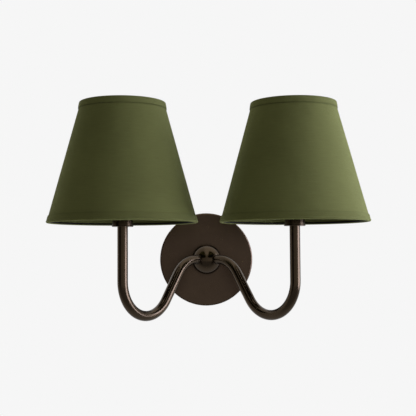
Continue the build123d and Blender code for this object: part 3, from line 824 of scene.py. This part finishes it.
def pale_surface(name, tone, shadow, sheen):
    """Pale stage: the camera sees its glow with some shadow, and reflections its sheen.

    The sheen's first value is for the part near the camera, its second for the part under and
    behind the light.
    """
    mat, graph, shader = new_material(name)
    graph.nodes.remove(shader)
    path = graph.add("LightPath").outputs
    seen = graph.seen_directly(path)
    where = graph.add("TexCoord").outputs["Object"]
    depth = graph.add("MapRange", {
        "Value": graph.split(where)["Y"],
        "From Min": SHEEN_DEPTH[0], "From Max": SHEEN_DEPTH[1],
        "To Min": sheen[0], "To Max": sheen[1],
    }).outputs["Result"]
    dimmed = graph.math("MULTIPLY", path["Is Glossy Ray"], depth)
    glow = graph.add("Emission", {
        "Color": (PALE, PALE, PALE, 1), "Strength": graph.math("MAXIMUM", seen, dimmed)})
    matt = graph.add("BsdfDiffuse", {"Color": (tone, tone, tone, 1)})
    lit = graph.math("MAXIMUM", graph.math("MULTIPLY", seen, 1 - shadow), path["Is Glossy Ray"])
    mix = graph.add("MixShader", {"Fac": lit, 1: matt.outputs["BSDF"], 2: glow.outputs["Emission"]})
    graph.fill(graph.nodes["Material Output"], {"Surface": mix.outputs["Shader"]})
    return mat


def stage_sheet(name, start, end, mat):
    """A flat surface of the stage between two level edges, each at a (y, z)."""
    left, right = -STAGE_REACH, STAGE_REACH
    corners = [(left, *start), (right, *start), (right, *end), (left, *end)]
    mesh = bpy.data.meshes.new(name)
    mesh.from_pydata(corners, [], [(0, 1, 2, 3)])
    mesh.materials.append(mat)
    obj = bpy.data.objects.new(name, mesh)
    bpy.context.scene.collection.objects.link(obj)


def make_stage():
    """Pale floor well below the light and a pale backdrop well behind it."""
    stage_sheet("floor", (-STAGE_REACH, FLOOR_Z), (STAGE_REACH, FLOOR_Z),
                pale_surface("pale_floor", FLOOR_TONE, FLOOR_SHADOW, FLOOR_SHEEN))
    stage_sheet("backdrop", (WALL_Y, FLOOR_Z), (WALL_Y, WALL_TOP),
                pale_surface("pale_backdrop", PALE, 0.0, WALL_SHEEN))


def make_world():
    """A room that is pale behind and above and dimmer in front.

    The camera and glass see it pale all round. Reflections see its brighter and dimmer
    parts, fixed to the room, and its glow on matt surfaces is low and even.
    """
    world = bpy.data.worlds.new("studio")
    bpy.context.scene.world = world
    world.use_nodes = True
    graph = Graph(world.node_tree)
    path = graph.add("LightPath").outputs
    direction = graph.add("TexCoord").outputs["Generated"]
    along = graph.split(direction)

    def facing(azimuth):
        """How far the direction points to an azimuth: 1 straight at it, -1 away."""
        node = graph.add("VectorMath", {0: direction, 1: (sin(azimuth), -cos(azimuth), 0)},
                         operation="DOT_PRODUCT")
        return node.outputs["Value"]

    def halved(value):
        """From -1..1 to 0..1."""
        return graph.math("MULTIPLY_ADD", value, 0.5, 0.5)

    walls = graph.ramp(halved(facing(BRIGHT_SIDE)), WALL_STOPS)
    ceiling = graph.math("MULTIPLY", graph.ramp(along["Z"], CEILING_STOPS),
                         graph.ramp(halved(along["X"]), CEILING_LEFT_STOPS))
    room = graph.math("MULTIPLY", graph.math("MAXIMUM", walls, ceiling),
                      graph.ramp(facing(DARK_SIDE), DARK_STOPS))
    glossy = path["Is Glossy Ray"]
    glow = graph.math("MULTIPLY_ADD", graph.math("SUBTRACT", 1.0, glossy), ROOM_GLOW,
                      graph.math("MULTIPLY", room, glossy))
    seen = graph.seen_directly(path)
    bright = graph.math("MAXIMUM", glow, graph.math("MULTIPLY", seen, PALE))
    tint = graph.add("Mix", data_type="RGBA")
    graph.fill(tint, {
        "A": (1, 1, 1, 1), "B": (*GLOW_TINT, 1), "Factor": graph.math("SUBTRACT", 1.0, seen)})
    scale = graph.add("VectorMath", {0: tint.outputs["Result"], "Scale": bright}, operation="SCALE")
    graph.fill(graph.nodes["Background"], {"Color": scale.outputs["Vector"]})


def make_camera():
    """The camera that fits the photograph."""
    data = bpy.data.cameras.new("camera")
    data.sensor_width = SENSOR_MM
    data.lens = SENSOR_MM * CAMERA_FOCAL_PX / FRAME_PX
    data.clip_start, data.clip_end = CAMERA_CLIP
    camera = bpy.data.objects.new("camera", data)
    camera.location = CAMERA_AT
    turn = Matrix.Rotation(-CAMERA_YAW, 3, "Z") @ Matrix.Rotation(pi / 2 + CAMERA_PITCH, 3, "X")
    camera.rotation_euler = (turn @ Matrix.Rotation(CAMERA_ROLL, 3, "Z")).to_euler()
    bpy.context.scene.collection.objects.link(camera)
    bpy.context.scene.camera = camera


finish_nodes()
for side, sign in SIDES.items():
    make_shade(side)
    make_bulb(side)
    make_socket_thread(side)
    make_bead(side, sign)
for colour in ("black", "white"):
    make_wire_nut(f"{colour}_wire_nut")

make_stage()
make_world()
make_camera()
for name, settings in LIGHTS.items():
    soft_light(name, *settings)
bpy.context.scene.view_settings.view_transform = "Standard"
